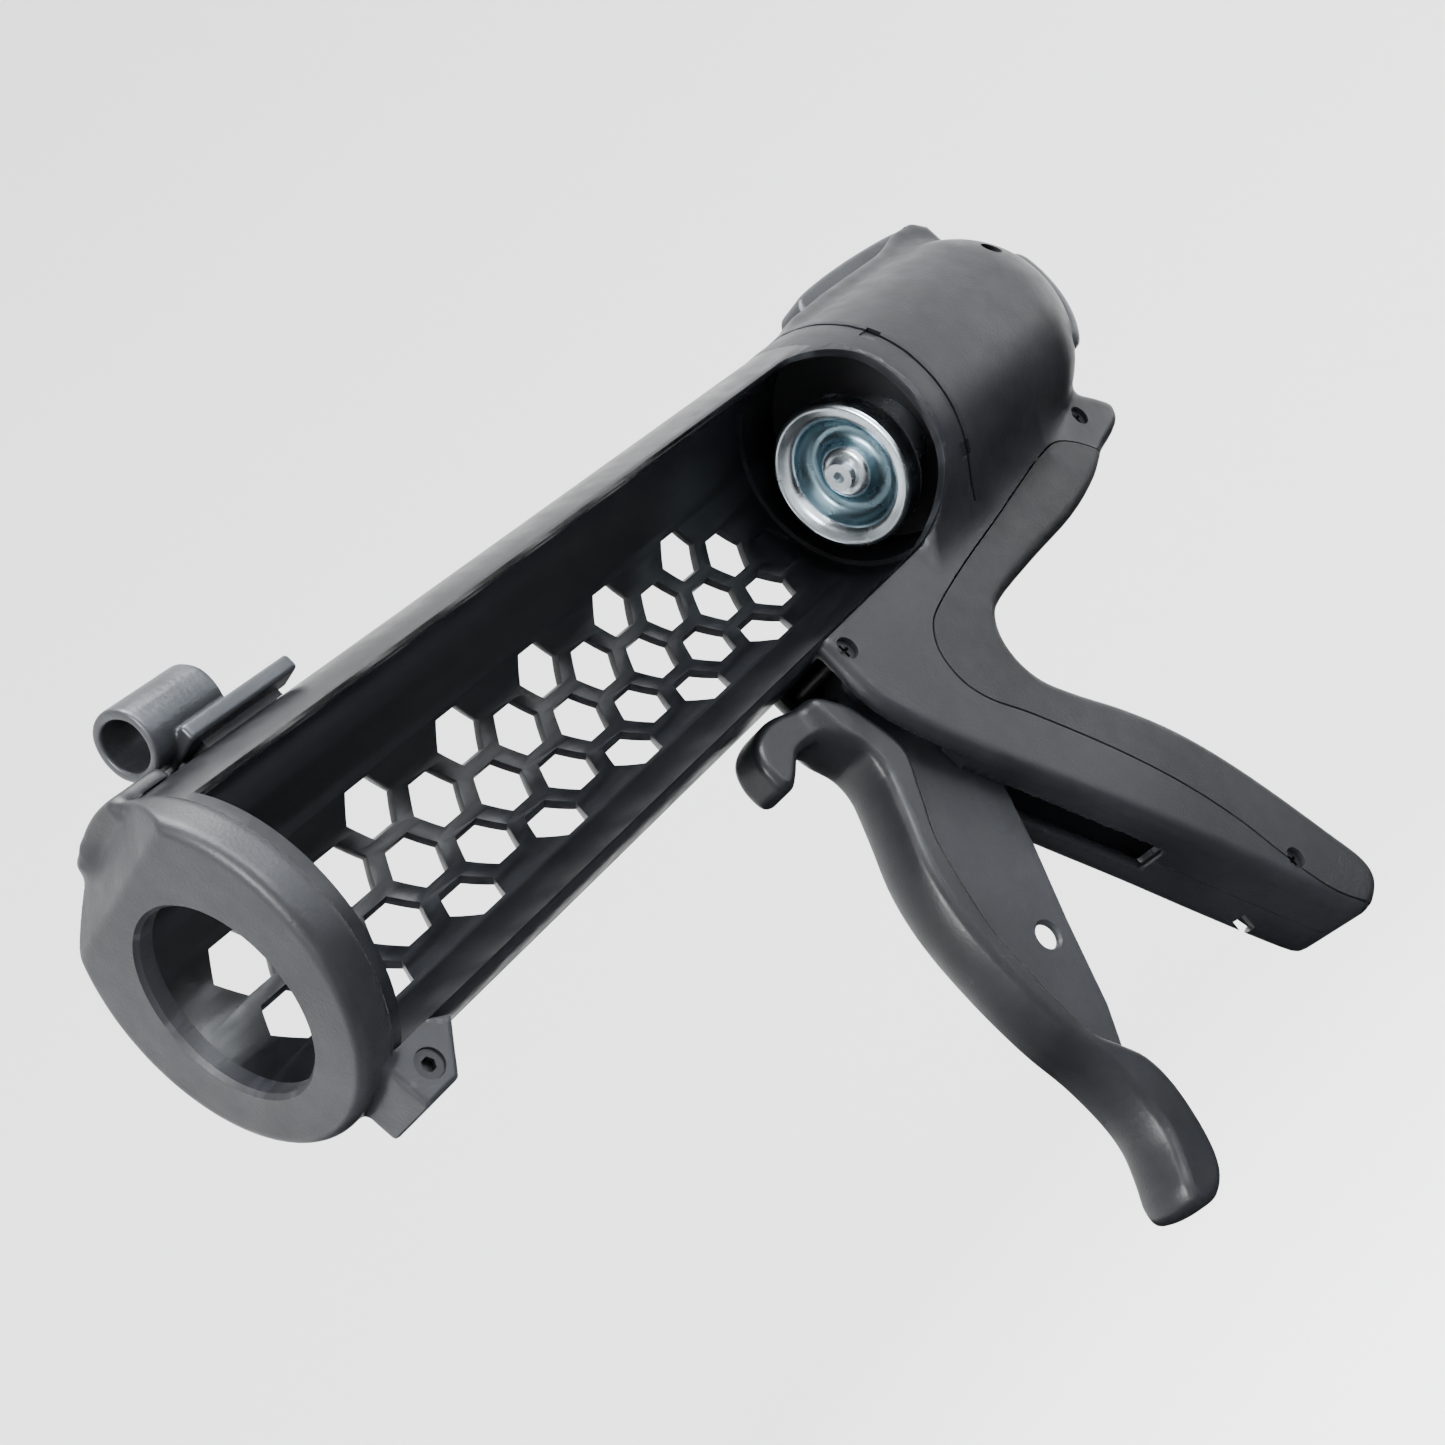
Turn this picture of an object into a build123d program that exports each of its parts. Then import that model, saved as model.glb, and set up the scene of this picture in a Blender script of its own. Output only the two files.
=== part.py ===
"""Caulking gun with a side-loading barrel and a pusher that stows in the rear housing.

Frame: +X runs forward along the barrel to the nozzle, +Y is the loading-window side, +Z is up.
The origin is the centre of the nozzle opening on the front face of the cap. Millimetres.
"""
from build123d import *
import os
from math import atan2, cos, degrees, radians, sin

os.makedirs("parts", exist_ok=True)

# ---- driving dimensions -------------------------------------------------------------------
FIT = 0.05                      # radial gap of a running or seated fit
GAP = 0.35                      # clearance between bodies that move past each other

# barrel
TUBE_Z = 3.7                    # barrel axis above the nozzle axis: the cartridge lies low
TUBE_R = 33.0
TUBE_WALL = 2.2
TUBE_IN = TUBE_R - TUBE_WALL
TUBE_FRONT = -4.0
TUBE_REAR = -236.0
SPIGOT_REAR = -248.0            # thinner tail of the tube that the housing clamps
SPIGOT_R = 31.4
SPIGOT_IN = 29.4

# loading window, seen from +Y
WINDOW_FRONT = -11.0
WINDOW_REAR = -226.0
WINDOW_TOP = 27.5
WINDOW_BOTTOM = -26.5
WINDOW_CORNER = 16.0

# honeycomb on the closed side
HEX_HALF_LENGTH = 7.4
HEX_HALF_HEIGHT = 5.8
HEX_PITCH = 30.4
HEX_FIRST = -26.5               # foremost hole of the odd rows
HEX_ANGLE_FIRST = -20.7         # top row, degrees below the horizontal of the closed side
HEX_ANGLE_STEP = 13.64
HEX_ROW_COUNTS = (6, 7, 7, 7, 6)

# lug under the cap, with its cross screw
LUG_SCREW = (-12.0, -32.2)
LUG_SCREW_R = 1.7
SCREW_HEAD_R = 2.9
SCREW_HEAD_SINK = 2.4
HEX_KEY_R = 1.5

# hanging clip
CLIP_FRONT = -25.0
CLIP_REAR = -53.0
CLIP_Y = 4.0
CLIP_WIDTH = 18.0
CLIP_PLATE = 3.4
CLIP_PLATE_Z = 37.3
CLIP_TOP_Z = CLIP_PLATE_Z + CLIP_PLATE
CLIP_RIVETS = (-42.0, -47.5)
CLIP_RIVET_R = 1.4
CLIP_RIVET_LOW = 34.0
CLIP_RIVET_HEAD_R = 2.4
LOOP_FRONT = -20.0
LOOP_REAR = -38.0
LOOP_R = 8.0
LOOP_WALL = 1.6

# nozzle opening and cap
NOZZLE_R = 19.5
CAP_R = 34.0
CAP_FACE = 4.0
CAP_DEPTH = 9.0
CAP_ROUND = 2.6
CAP_FLAT_Z = 25.5
CAP_TOP_Z = 39.0
CAP_SLOPE = (CAP_TOP_Z - CAP_FLAT_Z) / CAP_DEPTH
CAP_WALL = 4.3                  # height of the wall behind the sloped flat, measured along Z

# plunger and telescoping pusher
PLUNGER_R = 19.6
PLUNGER_X = -225.0
PLUNGER_DEPTH = 8.0
PLUNGER_SCREW_R = 2.0
ROD_R = 5.0
STAGE_WALL = 2.1
STAGE_GAP = 0.4
STAGE_REAR = -314.0
SLEEVE_WALL = 2.6

# housing
DRUM_R = 33.6
DRUM_WALL = 2.15
DRUM_REAR = -328.0
DOME_START = -296.0
DOME_FLAT_R = 9.0
HALF_WIDTH = 13.0
GRIP_SIDE = 1.2

CHEEK = [
    (-240, 20), (-240, 35.5), (-250, 37.8), (-296, 38), (-305, 41.6), (-318, 41.6), (-318, 20),
]
CAVITY_HALF = 10.0
CHEEK_HALF = 11.5

# trigger
PIVOT = (-170.0, -40.0)
TRIGGER_PIN_R = 2.5
BUSH_WALL = 1.4
BAND_HALF = 8.0
HOOK_HALF = 5.5
BLADE_HALF = 3.5
BLADE_HOLE = (-155.0, -109.0)
BLADE_HOLE_R = 3.2
WEB_LOW = 1.9                   # the recessed web of the blade keeps only its window side
PIN_HALF = 11.7                 # half length of the cross pins in the housing

# drive link and pawls, beside the blade
LINK_PIN = (-178.0, -58.0)
LINK_PIN_R = 1.8
LINK_LOW = 4.1
LINK_HIGH = 7.1

# ratchet wheel
WHEEL = (-266.0, -28.0)
WHEEL_R = 11.6
WHEEL_ROOT_R = 9.6
WHEEL_TEETH = 16
SPROCKET_R = 9.0
SPROCKET_HALF = 3.6
AXLE_R = 3.0

# holding pawl
PAWL_PIN = (-288.0, -34.0)
PAWL_PIN_R = 1.6

# release lever on top
LEVER_PIN = (-312.0, 38.8)
LEVER_HALF = 5.6
LEVER_PIN_R = 1.5

# shell screws: x, z and the depth of the screw head's face from the centre plane
SHELL_SCREWS = [
    (-165.5, -32.0, 12.0),
    (-227.5, -146.0, 12.0),
    (-303.0, -31.5, 12.0),
    (-305.0, 17.0, 24.5),
]
SHELL_SCREW_R = 1.5

# stored push chain, beside the blade on the closed side
CHAIN_PITCH = 8.0
CHAIN_Y = -6.3
CHAIN_HALF = 1.8
CHAIN_RUNS = [((-243.0, -37.0), (-204.0, -41.5)), ((-192.0, -50.5), (-232.0, -144.0))]


def tube_plane(x):
    """Plane across the barrel at x: local x is +Y, local y is +Z, the normal is +X."""
    return Plane(origin=(x, 0, TUBE_Z), x_dir=(0, 1, 0), z_dir=(1, 0, 0))


def axis_plane(x):
    """Plane across the nozzle axis at x."""
    return Plane(origin=(x, 0, 0), x_dir=(0, 1, 0), z_dir=(1, 0, 0))


def side_plane(y):
    """Side view plane at y: local x is +X, local y is +Z, and extruding goes towards -Y."""
    return Plane(origin=(0, y, 0), x_dir=(1, 0, 0), z_dir=(0, -1, 0))


def ring(front, rear, outer, inner, plane_at):
    """Tube along X from front to rear."""
    with BuildPart() as tube:
        with BuildSketch(plane_at(rear)):
            Circle(outer)
            Circle(inner, mode=Mode.SUBTRACT)
        extrude(amount=front - rear)
    return tube.part


def rod_x(front, rear, radius, plane_at):
    """Solid rod along X."""
    with BuildPart() as rod:
        with BuildSketch(plane_at(rear)):
            Circle(radius)
        extrude(amount=front - rear)
    return rod.part


def pin_y(x, z, y_low, y_high, radius):
    """Solid pin along Y."""
    with BuildPart() as pin:
        with BuildSketch(side_plane(y_high)):
            with Locations((x, z)):
                Circle(radius)
        extrude(amount=y_high - y_low)
    return pin.part


def pin_z(x, z_low, z_high, radius):
    """Solid pin along Z at the clip's offset from the centre plane."""
    with BuildPart() as pin:
        with BuildSketch(Plane.XY.offset(z_low)):
            with Locations((x, CLIP_Y)):
                Circle(radius)
        extrude(amount=z_high - z_low)
    return pin.part


def ring_y(x, z, y_low, y_high, outer, inner):
    """Bush along Y."""
    with BuildPart() as bush:
        with BuildSketch(side_plane(y_high)):
            with Locations((x, z)):
                Circle(outer)
                Circle(inner, mode=Mode.SUBTRACT)
        extrude(amount=y_high - y_low)
    return bush.part


def below_slope(drop):
    """Side region under the cap's sloped flat, lowered by drop."""
    start = CAP_FLAT_Z - drop
    return [(0, -60), (0, start), (-24, start + 24 * CAP_SLOPE), (-260, start + 24 * CAP_SLOPE), (-260, -60)]


def save(part, name):
    """Label one finished piece and write it."""
    part.label = name
    export_step(part, "parts/" + name + ".step")


# ---- barrel -------------------------------------------------------------------------------
with BuildPart() as barrel:
    add(ring(TUBE_FRONT, TUBE_REAR, TUBE_R, TUBE_IN, tube_plane))
    add(ring(TUBE_REAR + 4, SPIGOT_REAR, SPIGOT_R, SPIGOT_IN, tube_plane))
    # roof rail that keeps the cartridge off the upper edge of the window
    with BuildSketch(tube_plane(TUBE_REAR)):
        with Locations((10.0, TUBE_IN - 3.4)):
            Rectangle(1.8, 4.0)
    extrude(amount=TUBE_FRONT - TUBE_REAR - 12)
    # loading window
    with BuildSketch(side_plane(0)):
        with BuildLine():
            FilletPolyline(
                (WINDOW_FRONT, WINDOW_TOP),
                (WINDOW_REAR, WINDOW_TOP),
                (WINDOW_REAR, WINDOW_BOTTOM),
                (WINDOW_FRONT, WINDOW_BOTTOM),
                radius=WINDOW_CORNER,
            )
            Line((WINDOW_FRONT, WINDOW_BOTTOM), (WINDOW_FRONT, WINDOW_TOP))
        make_face()
    extrude(amount=-TUBE_R - 8, mode=Mode.SUBTRACT)
    # front end trimmed to clear the cap's sloped wall
    with BuildSketch(side_plane(TUBE_R + 8)):
        Polygon(*below_slope(CAP_WALL + 0.1))
    extrude(amount=2 * TUBE_R + 16, mode=Mode.INTERSECT)
    # honeycomb
    for row, count in enumerate(HEX_ROW_COUNTS):
        angle = radians(HEX_ANGLE_FIRST + HEX_ANGLE_STEP * row)
        first = HEX_FIRST - (HEX_PITCH / 2 if row % 2 == 0 else 0)
        row_plane = Plane(
            origin=(0, 0, TUBE_Z), x_dir=(1, 0, 0), z_dir=(0, -cos(angle), -sin(angle))
        )
        with BuildSketch(row_plane.offset(TUBE_IN - 3)):
            with Locations([(first - HEX_PITCH * i, 0) for i in range(count)]):
                Polygon(
                    (HEX_HALF_LENGTH, 0),
                    (HEX_HALF_LENGTH / 2, HEX_HALF_HEIGHT),
                    (-HEX_HALF_LENGTH / 2, HEX_HALF_HEIGHT),
                    (-HEX_HALF_LENGTH, 0),
                    (-HEX_HALF_LENGTH / 2, -HEX_HALF_HEIGHT),
                    (HEX_HALF_LENGTH / 2, -HEX_HALF_HEIGHT),
                )
        extrude(amount=TUBE_WALL + 6, mode=Mode.SUBTRACT)
    for x in CLIP_RIVETS:
        add(pin_z(x, TUBE_Z, CLIP_PLATE_Z, CLIP_RIVET_R + FIT), mode=Mode.SUBTRACT)
    # tongue under the front end that the cap screw passes through
    with BuildSketch(side_plane(8.7)):
        Polygon((-9.4, -27.4), (-23.0, -27.4), (-23.0, -28.6), (-14.0, -35.6), (-9.4, -35.6))
        with Locations(LUG_SCREW):
            Circle(LUG_SCREW_R + FIT, mode=Mode.SUBTRACT)
    extrude(amount=5.4)
save(barrel.part, "barrel")


# ---- front cap ----------------------------------------------------------------------------
with BuildPart() as front_cap:
    add(rod_x(0, -CAP_DEPTH, CAP_R, tube_plane))
    front_rim = front_cap.edges().filter_by(GeomType.CIRCLE).group_by(Axis.X)[-1]
    fillet(front_rim, CAP_ROUND)
    # seat for the front end of the barrel, which keeps a wall behind the sloped flat
    with BuildPart(mode=Mode.PRIVATE) as seat:
        add(rod_x(-CAP_FACE, -CAP_DEPTH, TUBE_R + FIT, tube_plane))
        with BuildSketch(side_plane(CAP_R)):
            Polygon(*below_slope(CAP_WALL))
        extrude(amount=2 * CAP_R, mode=Mode.INTERSECT)
    add(seat.part, mode=Mode.SUBTRACT)
    # flat that slopes from the face up to the rear of the rim
    with BuildSketch(side_plane(CAP_R)):
        Polygon((0.5, CAP_FLAT_Z), (-CAP_DEPTH, CAP_TOP_Z), (0.5, CAP_TOP_Z))
    extrude(amount=2 * CAP_R, mode=Mode.SUBTRACT)
    # skirt over the top of the barrel, ending in a low boss
    with BuildSketch(tube_plane(-18.0)):
        Circle(TUBE_R + 2.2)
        Circle(TUBE_R + FIT, mode=Mode.SUBTRACT)
        with Locations((1.5, 33.0)):
            Rectangle(19.0, 12.0, mode=Mode.INTERSECT)
    extrude(amount=9.6)
    # cheeks of the lug under the cap
    with BuildSketch(side_plane(14.0)):
        Polygon((-4.6, -26.0), (-9.3, -26.0), (-9.3, -29.2), (-23.0, -29.6), (-14.0, -37.6), (-6.0, -37.6))
        with Locations(LUG_SCREW):
            Circle(LUG_SCREW_R + FIT, mode=Mode.SUBTRACT)
    extrude(amount=16.0)
    with BuildSketch(side_plane(8.7 + FIT)):
        Polygon((-9.35, -20.0), (-30.0, -20.0), (-30.0, -40.0), (-9.35, -40.0))
    extrude(amount=5.4 + 2 * FIT, mode=Mode.SUBTRACT)
    add(seat.part, mode=Mode.SUBTRACT)
    add(rod_x(-CAP_DEPTH, -30.0, TUBE_R + FIT, tube_plane), mode=Mode.SUBTRACT)
    with BuildSketch(side_plane(14.0)):
        with Locations(LUG_SCREW):
            Circle(SCREW_HEAD_R + 0.1)
    extrude(amount=SCREW_HEAD_SINK, mode=Mode.SUBTRACT)
    # nozzle opening
    with BuildSketch(axis_plane(1.0)):
        Circle(NOZZLE_R)
    extrude(amount=-CAP_FACE - 2.0, mode=Mode.SUBTRACT)
save(front_cap.part, "front_cap")

with BuildPart() as cap_screw:
    add(pin_y(*LUG_SCREW, -1.6, 13.2 - SCREW_HEAD_SINK + 0.8, LUG_SCREW_R))
    add(pin_y(*LUG_SCREW, 14.0 - SCREW_HEAD_SINK, 13.4, SCREW_HEAD_R))
    with BuildSketch(side_plane(13.4)):
        with Locations(LUG_SCREW):
            RegularPolygon(HEX_KEY_R, 6)
    extrude(amount=1.6, mode=Mode.SUBTRACT)
save(cap_screw.part, "cap_screw")


# ---- hanging clip on top of the barrel ----------------------------------------------------
with BuildPart() as clip_saddle:
    # saddle block between the round barrel and the flat clip
    with BuildSketch(tube_plane(CLIP_REAR + 4)):
        with Locations((CLIP_Y, CLIP_PLATE_Z - TUBE_Z - 2.5)):
            Rectangle(9.0, 5.0)
        Circle(TUBE_R + FIT, mode=Mode.SUBTRACT)
    extrude(amount=CLIP_FRONT - CLIP_REAR - 8)
    for x in CLIP_RIVETS:
        add(pin_z(x, TUBE_Z, CLIP_TOP_Z, CLIP_RIVET_R + FIT), mode=Mode.SUBTRACT)
save(clip_saddle.part, "clip_saddle")

with BuildPart() as hanging_clip:
    with BuildSketch(axis_plane(CLIP_REAR)):
        with Locations((CLIP_Y, CLIP_PLATE_Z + CLIP_PLATE / 2)):
            Rectangle(CLIP_WIDTH, CLIP_PLATE)
    extrude(amount=CLIP_FRONT - CLIP_REAR)
    # rolled loop standing on the plate
    with BuildSketch(axis_plane(LOOP_REAR)):
        with Locations((CLIP_Y, CLIP_PLATE_Z + LOOP_R)):
            Circle(LOOP_R)
            Circle(LOOP_R - LOOP_WALL, mode=Mode.SUBTRACT)
    extrude(amount=LOOP_FRONT - LOOP_REAR)
    # notch in the rear end of the plate
    with Locations((CLIP_REAR, CLIP_Y, CLIP_PLATE_Z)):
        Box(5.0, 4.0, 12.0, mode=Mode.SUBTRACT)
    for x in CLIP_RIVETS:
        add(pin_z(x, TUBE_Z, CLIP_TOP_Z + 1, CLIP_RIVET_R + FIT), mode=Mode.SUBTRACT)
save(hanging_clip.part, "hanging_clip")

with BuildPart() as clip_rivets:
    for x in CLIP_RIVETS:
        add(pin_z(x, CLIP_RIVET_LOW, CLIP_TOP_Z + 0.7, CLIP_RIVET_R))
        add(pin_z(x, CLIP_TOP_Z, CLIP_TOP_Z + 0.7, CLIP_RIVET_HEAD_R))
save(clip_rivets.part, "clip_rivets")


# ---- plunger and telescoping pusher -------------------------------------------------------
STAGE_INNER = [ROD_R + STAGE_GAP + i * (STAGE_WALL + STAGE_GAP) for i in range(3)]
SLEEVE_IN = STAGE_INNER[2]
SLEEVE_OUT = SLEEVE_IN + SLEEVE_WALL
PLUNGER_BACK = PLUNGER_X - PLUNGER_DEPTH

with BuildPart() as plunger_cup:
    # pressed dish: rolled rim, deep annular groove, raised centre boss
    with BuildSketch(Plane.XY):
        Polygon(
            (PLUNGER_X - 2.0, 0),
            (PLUNGER_X - 2.0, 5.6),
            (PLUNGER_X - 5.4, 8.6),
            (PLUNGER_X - 5.4, 12.6),
            (PLUNGER_X - 1.2, 15.6),
            (PLUNGER_X, 16.6),
            (PLUNGER_X, PLUNGER_R - 1.2),
            (PLUNGER_X - 1.2, PLUNGER_R),
            (PLUNGER_BACK + 1.0, PLUNGER_R),
            (PLUNGER_BACK + 1.0, PLUNGER_R - 1.8),
            (PLUNGER_X - 3.4, 16.8),
            (PLUNGER_BACK + 1.0, 12.6),
            (PLUNGER_BACK, 8.0),
            (PLUNGER_BACK, 0),
        )
    revolve(axis=Axis.X)
    add(rod_x(PLUNGER_X, PLUNGER_BACK - 1, PLUNGER_SCREW_R + FIT, axis_plane), mode=Mode.SUBTRACT)
save(plunger_cup.part, "plunger_cup")

with BuildPart() as plunger_screw:
    add(rod_x(PLUNGER_X - 2.0, PLUNGER_BACK - 12.0, PLUNGER_SCREW_R, axis_plane))
    add(rod_x(PLUNGER_X + 0.4, PLUNGER_X - 2.0, 3.6, axis_plane))
    with BuildSketch(axis_plane(PLUNGER_X - 1.4)):
        RegularPolygon(1.7, 6)
    extrude(amount=2.0, mode=Mode.SUBTRACT)
save(plunger_screw.part, "plunger_screw")

with BuildPart() as push_rod:
    add(rod_x(PLUNGER_BACK, STAGE_REAR, ROD_R, axis_plane))
    screw_hole = rod_x(PLUNGER_BACK, PLUNGER_BACK - 12.0, PLUNGER_SCREW_R + FIT, axis_plane)
    add(screw_hole, mode=Mode.SUBTRACT)
save(push_rod.part, "push_rod")

for stage, name in enumerate(("push_tube_front", "push_tube_rear")):
    inner = STAGE_INNER[stage]
    lip = PLUNGER_BACK - 1.0 - stage
    stage_tube = ring(lip, STAGE_REAR - 1.0 - stage, inner + STAGE_WALL, inner, axis_plane)
    save(stage_tube, name)

save(ring(-237.5, -318.0, SLEEVE_OUT, SLEEVE_IN, axis_plane), "guide_sleeve")

with BuildPart() as bulkhead:
    # disc behind the barrel that carries the guide sleeve
    with BuildSketch(tube_plane(SPIGOT_REAR - 4.0)):
        Circle(SPIGOT_R)
        with Locations((0, -TUBE_Z)):
            Circle(SLEEVE_OUT + FIT, mode=Mode.SUBTRACT)
    extrude(amount=3.9)
save(bulkhead.part, "bulkhead")


# ---- housing ------------------------------------------------------------------------------
NECK = [
    (-160.5, -18), (-160.5, -46), (-167.5, -61), (-177, -76), (-191, -99), (-200, -114),
    (-215, -140), (-229, -164), (-233, -168.5), (-240, -169.5), (-247, -167), (-249, -161),
    (-246.6, -150), (-242.5, -132), (-238, -118), (-232, -103), (-225, -90.5), (-215, -78),
    (-209.2, -68), (-209, -59.5), (-213.5, -52.5), (-222, -49.4), (-245, -48.9), (-270, -48.9),
    (-289, -46.5), (-300, -42.8), (-312, -41.4), (-319, -39.4), (-321, -35), (-316.5, -30),
    (-311, -24), (-306, -8), (-296, 0), (-160, 0),
]
CAVITY = [
    (-163.5, -18), (-163.5, -45), (-170.5, -59.5), (-180, -74.5), (-194, -97.5), (-203, -112.5),
    (-218, -138.5), (-231, -160.5), (-235, -164.5), (-241, -165), (-244.3, -161), (-241.6, -150),
    (-237.5, -133), (-233, -120), (-227, -105.5), (-220, -93), (-210.5, -81), (-203.8, -69),
    (-203.6, -58), (-209.5, -48.5), (-221, -44.2), (-245, -43.4), (-270, -43.4), (-287, -41.2),
    (-298, -38), (-312, -36.5), (-306, -26), (-302, -8), (-292, 0), (-162, 0),
]
GRIP_REGION = [
    (-292, -35), (-284, -31.4), (-272, -31.6), (-242, -34.8), (-218, -37.2), (-200, -39.8),
    (-192, -42), (-187.4, -47.6), (-186, -56), (-189, -64), (-196, -72), (-205, -88),
    (-213, -104), (-218.5, -118), (-222.6, -130), (-224, -140), (-227, -156), (-234, -172),
    (-262, -175), (-262, -90), (-222, -62), (-309, -60), (-309, -42),
]
GRIP_CORE = [
    (-160, -10), (-160, -60), (-212, -166), (-240, -166.2), (-246.4, -160.5),
    (-244, -149), (-240, -132.4), (-235.6, -118.8), (-229.6, -104), (-223, -92), (-213, -79.5),
    (-206.8, -68.6), (-206.6, -58.8), (-212, -50.4), (-221.7, -47), (-245, -46.5), (-270, -46.5),
    (-288.4, -44.2), (-299.5, -40.5), (-325, -39), (-325, -10),
]


def side_slab(points, half):
    """Side profile extruded to both sides of the centre plane."""
    with BuildPart() as slab:
        with BuildSketch(side_plane(half)):
            Polygon(*points)
        extrude(amount=2 * half)
    return slab.part


def drum_solid(radius, front, rear):
    """Rear drum with a domed end."""
    with BuildPart() as solid:
        with BuildSketch(Plane.XY):
            with BuildLine():
                Polyline((front, 0), (front, radius), (DOME_START, radius))
                EllipticalCenterArc(
                    (DOME_START, DOME_FLAT_R),
                    DOME_START - rear,
                    radius - DOME_FLAT_R,
                    start_angle=90,
                    arc_size=90,
                )
                Polyline((rear, DOME_FLAT_R), (rear, 0), (front, 0))
            make_face()
        revolve(axis=Axis.X)
    return solid.part.moved(Location((0, 0, TUBE_Z)))


with BuildPart() as neck:
    add(side_slab(NECK, HALF_WIDTH))

with BuildPart() as grip_core:
    add(side_slab(GRIP_CORE, HALF_WIDTH - GRIP_SIDE))

with BuildPart() as soft_grip:
    add(neck.part)
    add(side_slab(GRIP_REGION, HALF_WIDTH + 1), mode=Mode.INTERSECT)
    add(grip_core.part, mode=Mode.SUBTRACT)
    add(drum_solid(DRUM_R + FIT, TUBE_REAR, DRUM_REAR), mode=Mode.SUBTRACT)
    for x, z, head in SHELL_SCREWS[:3]:
        add(pin_y(x, z, head - 3.0, 34.0, SCREW_HEAD_R), mode=Mode.SUBTRACT)
save(soft_grip.part, "soft_grip")

with BuildPart() as housing:
    add(neck.part)
    add(drum_solid(DRUM_R, TUBE_REAR, DRUM_REAR))
    # raised cheeks on top that flank the release lever
    with BuildSketch(side_plane(CHEEK_HALF)):
        with BuildLine():
            FilletPolyline(*CHEEK, radius=2)
            Line(CHEEK[-1], CHEEK[0])
        make_face()
    extrude(amount=2 * CHEEK_HALF)
    add(drum_solid(DRUM_R - DRUM_WALL, TUBE_REAR + 1, DRUM_REAR + 3), mode=Mode.SUBTRACT)
    # room for the barrel in front of the drum
    add(rod_x(-100, TUBE_REAR, TUBE_R + FIT, tube_plane), mode=Mode.SUBTRACT)
    # hollow neck and handle
    add(side_slab(CAVITY, CAVITY_HALF), mode=Mode.SUBTRACT)
    # seat of the soft grip
    add(soft_grip.part, mode=Mode.SUBTRACT)
    # slot for the release lever
    with BuildSketch(side_plane(LEVER_HALF + GAP)):
        Polygon((-240, 36.2), (-308, 36.2), (-308, 34), (-330, 34), (-330, 50), (-240, 50))
    extrude(amount=2 * (LEVER_HALF + GAP), mode=Mode.SUBTRACT)
    # mouth in the front of the neck that takes the top of the trigger, and the blade slot below
    mouth = [(-150, -29), (-150, -72), (-173, -72), (-173, -29)]
    add(side_slab(mouth, BAND_HALF + 0.6), mode=Mode.SUBTRACT)
    blade_slot = [(-150, -31), (-150, -70), (-188, -120), (-206, -120), (-195, -31)]
    add(side_slab(blade_slot, BLADE_HALF + 1), mode=Mode.SUBTRACT)
    # lanyard slot near the end of the handle
    with Locations(Location((-222.0, -9.0, -151.0), (0, 0, 45))):
        Box(30, 3.0, 5.0, mode=Mode.SUBTRACT)
    # bores of the cross pins and shell screws
    for centre, radius, half in (
        (PIVOT, TRIGGER_PIN_R, PIN_HALF),
        (WHEEL, AXLE_R, PIN_HALF),
        (PAWL_PIN, PAWL_PIN_R, PIN_HALF),
        (LEVER_PIN, LEVER_PIN_R, CHEEK_HALF + 1),
    ):
        add(pin_y(*centre, -half, half, radius + FIT), mode=Mode.SUBTRACT)
    for x, z, head in SHELL_SCREWS:
        add(pin_y(x, z, -head + 1.5, head, SHELL_SCREW_R + FIT), mode=Mode.SUBTRACT)
        add(pin_y(x, z, head - 2.0, 34.0, SCREW_HEAD_R), mode=Mode.SUBTRACT)

for name, side in (("left_shell", Keep.BOTTOM), ("right_shell", Keep.TOP)):
    with BuildPart() as shell:
        add(housing.part)
        split(bisect_by=Plane.XZ, keep=side)
    save(shell.part, name)

with BuildPart() as shell_screws:
    for x, z, head in SHELL_SCREWS:
        with BuildPart(mode=Mode.PRIVATE) as screw:
            add(pin_y(x, z, -head + 1.6, head - 2.0, SHELL_SCREW_R))
            add(pin_y(x, z, head - 2.0, head - 0.4, SCREW_HEAD_R - 0.1))
            with BuildSketch(side_plane(head)):
                with Locations((x, z)):
                    Rectangle(3.4, 0.8)
                    Rectangle(0.8, 3.4)
            extrude(amount=1.4, mode=Mode.SUBTRACT)
        add(screw.part)
save(shell_screws.part, "shell_screws")

with BuildPart() as rear_support:
    # disc in the dome that holds the rear end of the guide sleeve
    with BuildSketch(tube_plane(-317.0)):
        Circle(24.0)
        with Locations((0, -TUBE_Z)):
            Circle(SLEEVE_OUT + FIT, mode=Mode.SUBTRACT)
    extrude(amount=3.0)
save(rear_support.part, "rear_support")

with BuildPart() as rear_plate:
    # strip down the back of the dome
    add(drum_solid(DRUM_R + 2.2, -290, DRUM_REAR - 3.2))
    with Locations((-330, 0, -2)):
        Box(60, 52, 32, mode=Mode.INTERSECT)
    add(drum_solid(DRUM_R + FIT, TUBE_REAR, DRUM_REAR - FIT), mode=Mode.SUBTRACT)
save(rear_plate.part, "rear_plate")


# ---- release lever ------------------------------------------------------------------------
LEVER = [
    (-257.5, 38.6), (-260, 41.6), (-264, 42.9), (-290, 43.6), (-318, 42.4), (-321.5, 40),
    (-321, 37.6), (-318, 36.7), (-262, 36.7), (-258, 37),
]
with BuildPart() as release_lever:
    add(side_slab(LEVER, LEVER_HALF))
    add(pin_y(*LEVER_PIN, -LEVER_HALF, LEVER_HALF, LEVER_PIN_R + FIT), mode=Mode.SUBTRACT)
save(release_lever.part, "release_lever")
save(pin_y(*LEVER_PIN, -CHEEK_HALF + 0.3, CHEEK_HALF - 0.3, LEVER_PIN_R), "lever_pin")


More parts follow.
